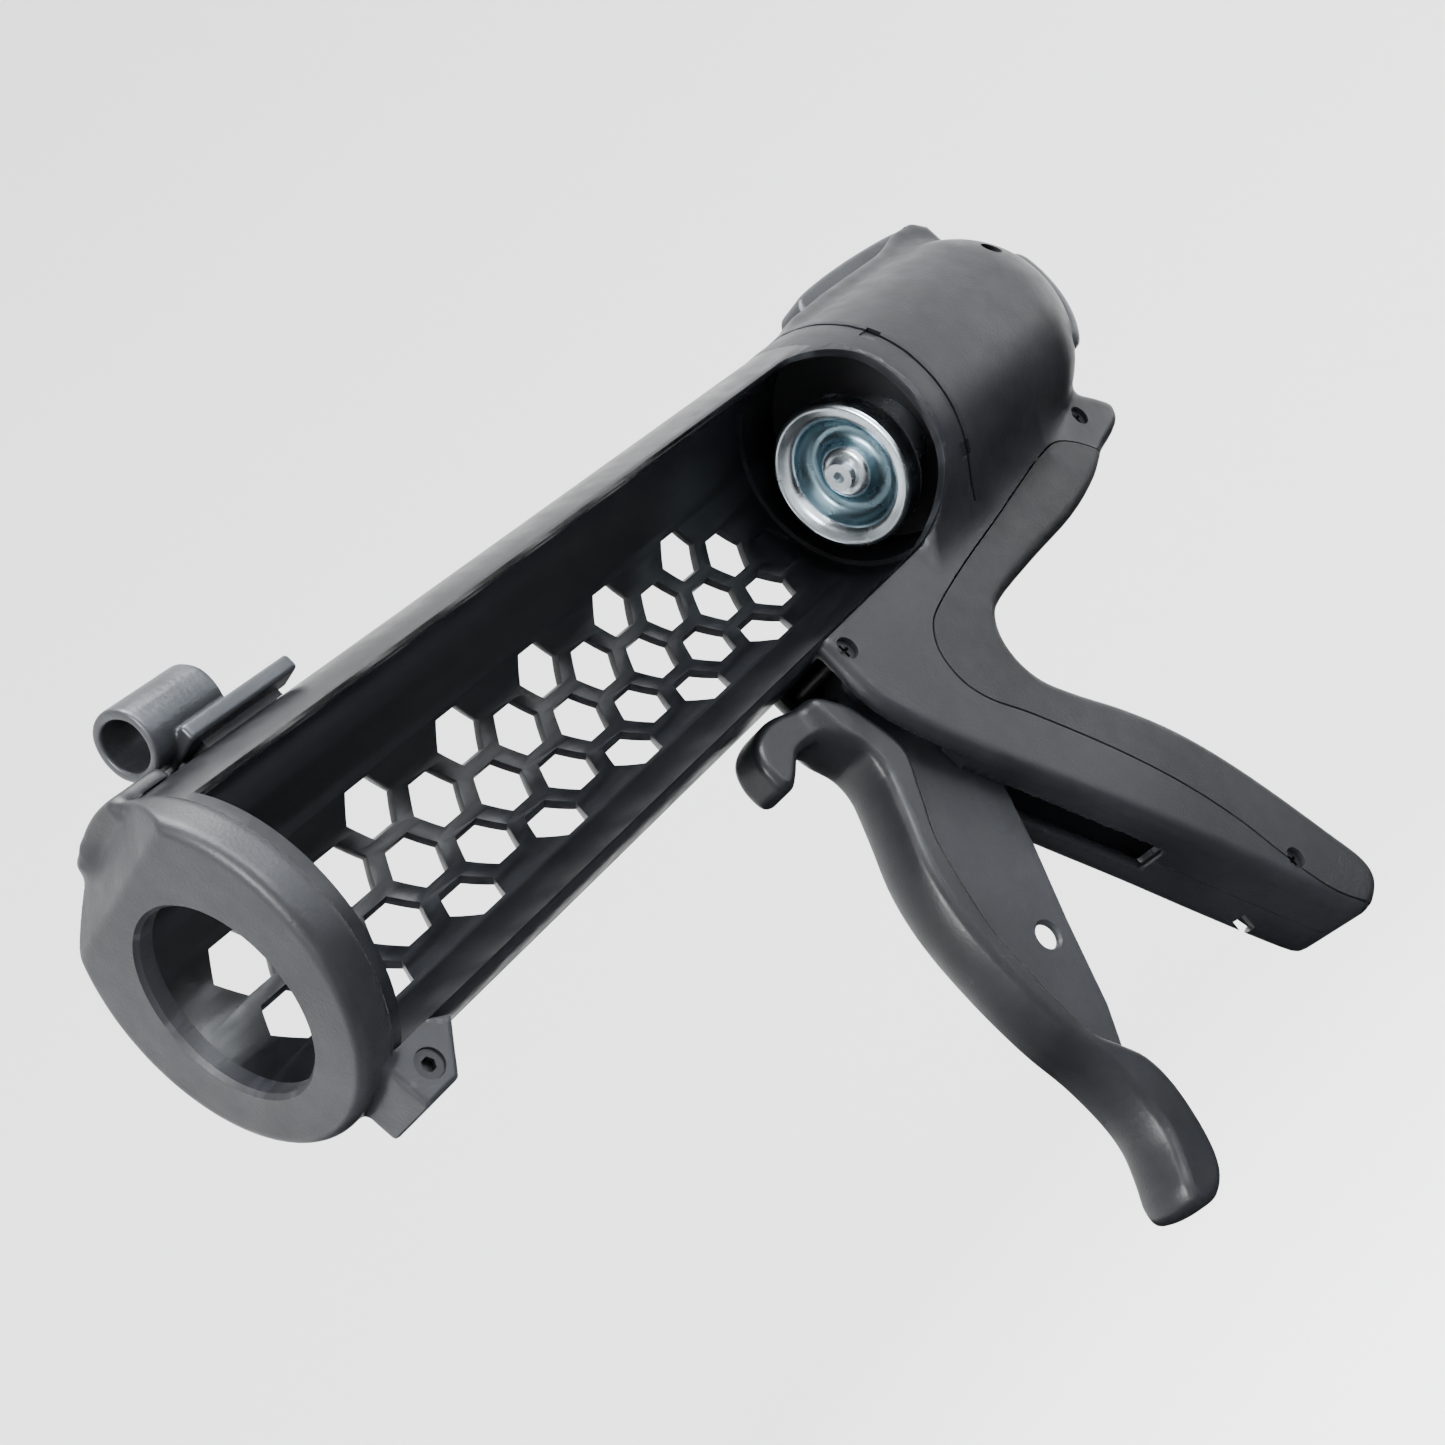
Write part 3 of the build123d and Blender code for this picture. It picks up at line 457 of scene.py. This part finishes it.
def hollow(field, x, y, z):
    """Housing less the room inside it, the barrel and the openings."""
    r = np.hypot(y, z - TUBE_Z)
    inside = drum_field(x, r, DRUM_R - 2.15, DRUM_REAR + 3)
    inside = np.maximum(inside, x - TUBE_REAR - 1)
    bore = np.maximum(r - (TUBE_R - 1.1), TUBE_REAR - 1 - x)
    room = np.maximum(side_field(CAVITY, x, z), np.abs(y) - 10)
    window = np.maximum(window_field(x, z, 0.35), -y)
    mouth = np.maximum(span(x, -173, -150), np.maximum(span(z, -72, -29), np.abs(y) - 8.6))
    slot = [(-150, -31), (-150, -70), (-188, -120), (-206, -120), (-195, -31)]
    slit = np.maximum(side_field(slot, x, z), np.abs(y) - 4.5)
    for empty in (inside, bore, room, window, mouth, slit):
        field = np.maximum(field, -empty)
    return field


def shrink(outline, amount):
    """Outline moved inwards by amount."""
    pts = np.array(outline, float)
    tangent = np.roll(pts, -1, 0) - np.roll(pts, 1, 0)
    tangent /= np.linalg.norm(tangent, axis=1)[:, None]
    area = np.sum(pts[:, 0] * np.roll(pts[:, 1], -1) - np.roll(pts[:, 0], -1) * pts[:, 1])
    side = np.stack([-tangent[:, 1], tangent[:, 0]], 1) * (1 if area > 0 else -1)
    return pts + side * amount


def screw_recess(x, z, head_y):
    """Cutter for the well over a shell screw whose head lies at head_y."""
    return rod("cutter", (x, 0, z), "Y", head_y - 2.0, 34.0, SCREW_HEAD_R)


def collar_notch(turn):
    """Cutter for a small notch in the collar, turned round the barrel by that many degrees."""
    notch = block("cutter", (-2.4, 31.9, -2.0), (2.4, 36.0, 2.0))
    spot = Matrix.Translation(Vector((TUBE_REAR + 1.0, 0, TUBE_Z)) * MM)
    notch.matrix_world = spot @ Matrix.Rotation(radians(turn), 4, "X")
    return notch


def lanyard_slot():
    """Cutter for the slot across the handle's end, at 45 degrees to its width."""
    slot = block("cutter", (-15, -1.5, -2.5), (15, 1.5, 2.5))
    spot = Matrix.Translation(Vector((-222.0, -9.0, -151.0)) * MM)
    slot.matrix_world = spot @ Matrix.Rotation(radians(45), 4, "Z")
    return slot


def housing_cutters():
    """What is cut from both shells, from the room for the grip to the slot for a lanyard."""
    lever_slot = [(-240.5, 36.4), (-308, 36.4), (-308, 34), (-332, 34), (-332, 52), (-240.5, 52)]
    groove = [(-0.45, 32.9), (-0.45, 36), (0.45, 36), (0.45, 32.9), (-0.45, 32.9)]
    cutters = [
        prism("cutter", GRIP, -20, 20),
        prism("cutter", lever_slot, -6.0, 6.0),
        lathe("cutter", groove, (TUBE_REAR + 0.2, 0, TUBE_Z)),
    ]
    cutters += [collar_notch(turn) for turn in COLLAR_NOTCHES]
    cutters += [screw_recess(*screw) for screw in SHELL_SCREWS]
    cutters.append(lanyard_slot())
    return cutters


def make_housing():
    """Two shells with a parting line between them."""
    low, high = (-330.5, -36.0, -171.5), (-155.0, 36.0, 43.0)
    x, y, z = grid(low, high, HOUSING_STEP)
    shell = add_field("shell", hollow(housing_field(x, y, z), x, y, z), low, HOUSING_STEP)
    cut(shell, housing_cutters())
    for name, node, low_y, high_y in (
        ("left_skin", "left_shell", 0.12, 40), ("right_skin", "right_shell", -40, -0.12)
    ):
        half = bpy.data.objects.new(name, shell.data.copy())
        bpy.context.scene.collection.objects.link(half)
        cut(half, [block("cutter", (-340, low_y, -180), (-140, high_y, 60))], "INTERSECT")
        finish_piece(half, PLASTIC, "housing", "housing", node)
    bpy.data.objects.remove(shell)


def make_grip():
    """Soft grip let into the back of the neck and handle."""
    low, high = (-312.0, -15.0, -171.5), (-184.0, 15.0, -28.0)
    x, y, z = grid(low, high, GRIP_STEP)
    skin = housing_field(x, y, z, 0.1)
    room = np.maximum(side_field(CAVITY, x, z) - 1.0, np.abs(y) - 11.0)
    grip = add_field("grip_skin", np.maximum(skin, -room), low, GRIP_STEP)
    cut(grip, [prism("cutter", shrink(GRIP, 0.5), -20, 20)], "INTERSECT")
    cut(grip, [screw_recess(*screw) for screw in SHELL_SCREWS[:3]])
    finish_piece(grip, RUBBER, "grip", "housing", "soft_grip")


# ---- trigger -------------------------------------------------------------------------------
HOOK = [
    (-129.8, -33.5), (-134, -31.4), (-140, -31), (-147.5, -33.2), (-153.5, -36.6),
    (-155, -44), (-152.5, -48), (-149.5, -44.5), (-146, -41.8), (-139, -41), (-134, -43.6),
    (-130.2, -45.2),
    (-127.4, -43.6), (-127.4, -38),
]
BAND = [
    (-150.5, -34.9), (-154.8, -37.4), (-159.2, -44), (-159.6, -56.5), (-152, -67.5),
    (-145.6, -76), (-141, -87.5), (-137.6, -98), (-136.7, -108), (-136.2, -119), (-136.9, -128),
    (-140, -134),
    (-143.3, -141), (-143.2, -150), (-139.4, -161), (-134.5, -167.6), (-128, -169.7),
    (-123, -167.2), (-123.4, -163), (-127, -158.5), (-131, -152.5), (-132.8, -145),
    (-132.9, -134), (-131.4, -122.7), (-131.1, -110), (-131.8, -98.5), (-132.9, -91),
    (-134.7, -84), (-138.2, -75.8), (-144.5, -66), (-150.2, -56), (-151.2, -49.2),
    (-149.8, -43),
]
BLADE_SIDE = [
    (-155, -42), (-156, -56), (-148, -68), (-142.4, -77), (-138, -88), (-134.6, -108),
    (-134.5, -127), (-137.6, -134), (-141, -141), (-146.5, -136.6), (-152.7, -129),
    (-163.4, -110.5), (-173.6, -94.5), (-181, -81), (-187, -66), (-186.5, -54), (-176, -36),
    (-170, -33.4), (-164, -38),
]
RECESS = [
    (-160, -71), (-151, -78), (-144.5, -90), (-140.6, -108), (-140.4, -122), (-145, -130.4),
    (-158, -128), (-168, -110), (-180, -92), (-188, -78), (-179.4, -72),
]


def make_trigger():
    """Curved finger strap with its hook, moulded round the front edge of the blade."""
    low, high, step = (-163.5, -9.5, -171.5), (-120.5, 9.5, -29.5), 0.5
    x, y, z = grid(low, high, step)
    bow = 2.2 * (y / STRAP_HALF) ** 2 * np.clip((-46 - z) / 12, 0, 1)
    band = both(outline_distance(spline(BAND), x + bow, z), np.abs(y) - STRAP_HALF, 1.7)
    hook = both(side_field(spline(HOOK), x, z), np.abs(y) - HOOK_HALF, 2.3)
    strap = add_field("trigger_strap", join(band, hook, 5.0), low, step)
    finish_piece(strap, TRIGGER, "trigger", "trigger", "trigger", angle=50)


def make_blade():
    """Flat blade of the trigger, with a pocket on its far side that leaves a thin web round its hole."""
    low, high, step = (-188.5, -4.5, -142.0), (-133.0, 4.5, -32.5), 0.42
    x, y, z = grid(low, high, step)
    plate = both(side_field(BLADE_SIDE, x, z), np.abs(y) - BLADE_HALF, 0.5)
    recess = np.maximum(side_field(RECESS, x, z), y - WEB_LOW)
    blade = add_field("blade_plate", np.maximum(plate, -recess), low, step)
    hole = [(-6, 0), (-6, BLADE_HOLE_R), (2.9, BLADE_HOLE_R), (3.9, BLADE_HOLE_R + 1), (3.9, 0)]
    cutters = [
        lathe("cutter", hole, (BLADE_HOLE[0], 0, BLADE_HOLE[1]), "Y"),
        rod("cutter", (PIVOT[0], 0, PIVOT[1]), "Y", -6, 6, PIVOT_R),
        rod("cutter", (LINK_PIN[0], 0, LINK_PIN[1]), "Y", -6, 6, LINK_PIN_R),
    ]
    cut(blade, cutters)
    finish_piece(blade, BLADE, "trigger", "trigger", "trigger_blade")


# ---- rear plate ----------------------------------------------------------------------------
def make_rear_plate():
    """Curved plate let onto the back of the dome."""
    low, high, step = (-332.0, -27.5, -19.5), (-296.0, 27.5, 15.5), 0.5
    x, y, z = grid(low, high, step)
    r = np.hypot(y, z - TUBE_Z)
    outer = drum_field(x, r, DRUM_R + 1.4, DRUM_REAR - 2.9)
    inner = drum_field(x, r, DRUM_R - 0.3, DRUM_REAR + 0.3)
    sides = both(np.abs(y) - 25.8, np.abs(z + 2.0) - 15.8, 5.0)
    plate = add_field("rear_plate_skin", both(both(outer, sides, 1.0), -inner), low, step)
    finish_piece(plate, CLIP, "housing", "housing", "rear_plate", angle=60)


# ---- release lever -------------------------------------------------------------------------
LEVER = [
    (-257.5, 38.6), (-260, 41.6), (-264, 42.9), (-276, 43.6), (-290, 43.7), (-306, 43.2), (-318, 42.2),
    (-321.3, 40), (-320.6, 37.6), (-316, 36.8), (-290, 36.8), (-262, 36.9), (-258, 37.2),
]


def make_lever():
    """Rounded lever on top of the housing."""
    low, high, step = (-323.0, -7.0, 35.5), (-256.0, 7.0, 45.0), 0.35
    x, y, z = grid(low, high, step)
    side = both(side_field(spline(LEVER), x, z), np.abs(y) - LEVER_HALF, 1.7)
    lever = add_field("lever_skin", side, low, step)
    finish_piece(lever, CLIP, "trigger", "release_lever", "release_lever", angle=60)


# ---- front cap -----------------------------------------------------------------------------
def make_cap():
    """Cap with a sloped top, a raised boss and the lug for its cross screw."""
    low, high, step = (-25.0, -36.0, -40.0), (1.5, 36.0, 40.5), 0.5
    x, y, z = grid(low, high, step)
    r = np.hypot(y, z - TUBE_Z)
    disc = both(r - CAP_R, span(x, -9.0, 0.0), 2.2)
    slope = (13.5 * x + 9.0 * (z - 25.5)) / 16.22
    disc = both(disc, slope, 0.4)
    boss = both(both(span(x, -18.5, -5.5), np.abs(y - 1.5) - 9.5, 2.0), np.abs(r - 33.6) - 2.0, 1.6)
    boss = np.maximum(boss, -z)
    ear = np.sqrt(((x + 11.5) / 7.0) ** 2 + ((y + 9.0) / 5.0) ** 2 + ((z - 36.0) / 3.0) ** 2) - 1
    boss = join(boss, ear * 3.0, 2.0)
    lug_line = [(-5, -26), (-14, -24), (-22.4, -28.6), (-14.4, -37.4), (-6, -37.4)]
    lug = both(side_field(lug_line, x, z), span(y, -2.0, 14.0), 0.9)
    field = join(join(disc, boss, 2.5), lug, 1.5)
    seat = np.maximum(np.maximum(r - 33.08, x + 4.0), slope + 2.35)
    field = np.maximum(field, -seat)
    tongue_room = np.maximum(span(x, -40, -9.35), np.maximum(span(z, -40, -20), span(y, 3.25, 8.75)))
    field = np.maximum(field, -tongue_room)
    cap = add_field("cap_skin", field, low, step)
    screw = (CAP_SCREW[0], 0, CAP_SCREW[1])
    cutters = [
        lathe("cutter", [(-8, 0), (-8, NOZZLE_R), (-0.9, NOZZLE_R), (3, NOZZLE_R + 3.4), (3, 0)], (0, 0, 0)),
        rod("cutter", screw, "Y", -6, 20, CAP_SCREW_R),
        rod("cutter", screw, "Y", 11.6, 20, SCREW_HEAD_R + 0.1),
        block("cutter", (-17.5, -4.5, 35.6), (-10.5, 5.5, 42)),
    ]
    cut(cap, cutters)
    finish_piece(cap, CAP, "cap", "housing", "front_cap", angle=40)


# ---- hanging clip --------------------------------------------------------------------------
def make_clip():
    """Bent strap: a flat bar on the barrel that rolls up into a D-shaped loop."""
    low, high, step = (-54.5, -6.5, 36.0), (-18.5, 14.5, 54.5), 0.35
    x, y, z = grid(low, high, step)
    loop_line = spline([
        (4.0, 39.3), (-0.4, 40.4), (-3.6, 43.6), (-4.0, 47.6), (-1.6, 51.0), (2.6, 52.1), (7.2, 50.9),
        (10.6, 47.4), (10.6, 43.2), (8.0, 40.2),
    ], 5)
    wall = np.abs(outline_distance(loop_line, y[0], z[0]))[None] - 1.05
    loop = both(wall, span(x, -38.0, -20.0), 0.6)
    bar = both(both(span(x, -53.0, -25.0), span(z, 37.3, 40.7), 0.8), span(y, -5.0, 13.0), 0.9)
    notch = np.maximum(span(x, -56, -50.6), np.abs(y - 4.0) - 2.0)
    bar = both(bar, -notch, 0.5)
    clip = add_field("clip_skin", join(loop, bar, 1.0), low, step)
    finish_piece(clip, CLIP, "dark_steel", "housing", "hanging_clip", angle=60)


# ---- plunger -------------------------------------------------------------------------------
def make_plunger():
    """Pressed dish with a rolled bright rim, a deep groove whose faces carry painted shade, and a raised
    boss.
    """
    line = spline([
        (-2.2, 2.15), (-2.2, 4.4), (-2.6, 6.2), (-3.8, 7.2), (-5.4, 8.4), (-6.0, 10.2), (-5.6, 12.0),
        (-4.0, 13.6),
        (-2.0, 14.6), (-1.0, 15.6), (-0.4, 17.0), (0.0, 18.4), (-0.5, 19.3), (-1.8, 19.6), (-6.8, 19.6),
        (-7.0, 18.4), (-4.0, 17.6), (-5.6, 15.4), (-7.3, 12.6), (-7.9, 8.0), (-7.9, 2.15),
    ], 4)
    profile = [tuple(p) for p in np.array(line)]
    cup = lathe("plunger_dish", profile + profile[:1], (CUP_FACE, 0, 0))
    cup.data.materials.append(ZINC)
    cup.data.materials.append(ZINC_GROOVE_SHADE)
    # Faces in the groove take the second, darker zinc: painted shade.
    for face in cup.data.polygons:
        middle = face.center / MM
        if middle.x > CUP_FACE - 6.3 and 7.0 < np.hypot(middle.y, middle.z) < 14.4:
            face.material_index = 1
    finish_piece(cup, None, "zinc", "plunger", "plunger_cup", angle=50)


# ---- barrel --------------------------------------------------------------------------------
def make_barrel():
    """Barrel with eased edges."""
    barrel = bevelled("barrel", "barrel_shell", 0.45)
    finish_piece(barrel, BARREL, "barrel", "housing", "barrel")


# ---- what stays CAD ------------------------------------------------------------------------
CARRIED = {
    ZINC: ["plunger_screw", "push_rod", "push_tube_front", "push_tube_rear", "guide_sleeve"],
    STEEL: ["ratchet_wheel", "holding_pawl", "drive_link", "link_pin", "pawl_pin", "wheel_axle",
            "axle_bushes", "push_chain"],
    BLACK: ["cap_screw", "shell_screws", "clip_rivets", "clip_saddle", "trigger_pin", "trigger_bushes",
            "trigger_spring", "lever_pin"],
    WIRE: ["pawl_spring"],
    INNER: ["bulkhead", "rear_support"],
}


def paint_carried():
    """Gives each CAD node that stays visible its surface."""
    for material, names in CARRIED.items():
        for name in names:
            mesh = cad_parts[name].data
            mesh.materials.clear()
            mesh.materials.append(material)


# ---- stage ---------------------------------------------------------------------------------
def look_at(obj, target):
    """Turns a light towards a point."""
    obj.rotation_euler = (Vector(target) - obj.location).to_track_quat("-Z", "Y").to_euler()


def softbox(name, place, size, watts, color=(1, 1, 1), target=(-0.15, 0, -0.02)):
    """Soft square light."""
    data = bpy.data.lights.new(name, "AREA")
    data.shape, data.size, data.energy, data.color = "SQUARE", size, watts, color
    obj = bpy.data.objects.new(name, data)
    bpy.context.scene.collection.objects.link(obj)
    obj.location = place
    look_at(obj, target)


def make_stage():
    """Pale floor that curves up far out, soft lights and a pale sky."""
    floor_z, reach, rise = -420.0, 2600.0, 2200.0
    profile = [(floor_z, 0), (floor_z, reach * 0.5)]
    for a in np.linspace(0.1, pi / 2, 14):
        profile.append((floor_z + rise * (1 - cos(a)), reach * 0.5 * (1 + sin(a))))
    floor = lathe("stage_floor", profile, (0, 0, 0), "Z")
    pale = bpy.data.materials.new("pale_floor")
    pale.use_nodes = True
    shader = pale.node_tree.nodes["Principled BSDF"]
    shader.inputs["Base Color"].default_value = (0.93, 0.93, 0.93, 1)
    shader.inputs["Roughness"].default_value = 0.9
    floor.data.materials.append(pale)
    shade(floor, 60)
    flag = lathe("stage_flag", [(-330.0, 0), (-330.0, 1300.0)], (-150, 0, 0), "Z")
    black = bpy.data.materials.new("black_flag")
    black.use_nodes = True
    black.node_tree.nodes["Principled BSDF"].inputs["Base Color"].default_value = (0.004, 0.004, 0.004, 1)
    black.node_tree.nodes["Principled BSDF"].inputs["Specular IOR Level"].default_value = 0.0
    flag.data.materials.append(black)
    flag.visible_camera = flag.visible_diffuse = flag.visible_shadow = False
    world = bpy.data.worlds.new("sky")
    bpy.context.scene.world = world
    world.use_nodes = True
    world.node_tree.nodes["Background"].inputs["Color"].default_value = (1, 1, 1, 1)
    world.node_tree.nodes["Background"].inputs["Strength"].default_value = 1.6
    softbox("key", (-0.25, 0.35, 1.1), 0.8, 60)
    softbox("rake", (-0.62, 0.86, -0.02), 0.3, 1.6, (0.86, 0.93, 1.0), (-0.10, -0.02, 0.01))
    softbox("front", (0.85, 0.25, 0.35), 0.5, 26)
    softbox("side", (-0.3, 1.0, 0.55), 0.6, 26, (0.9, 0.95, 1.0))


def make_camera():
    """Camera at the viewing angle of the reference: level, and rolled about its axis."""
    data = bpy.data.cameras.new("camera")
    data.sensor_width, data.lens = 36.0, 49.281
    data.clip_start, data.clip_end = 0.01, 20
    camera = bpy.data.objects.new("camera", data)
    bpy.context.scene.collection.objects.link(camera)
    right = Vector((-0.50967692, 0.48540082, -0.71036293))
    up = Vector((-0.48757933, 0.51731068, 0.70331789))
    back = Vector((0.70886941, 0.70482317, -0.02698991))
    turn = Matrix((right, up, back)).transposed().to_4x4()
    camera.matrix_world = Matrix.Translation((0.17208, 0.30395, -0.03585)) @ turn
    bpy.context.scene.camera = camera


make_housing()
make_grip()
make_trigger()
make_blade()
make_rear_plate()
make_lever()
make_cap()
make_clip()
make_plunger()
make_barrel()
paint_carried()
make_stage()
make_camera()
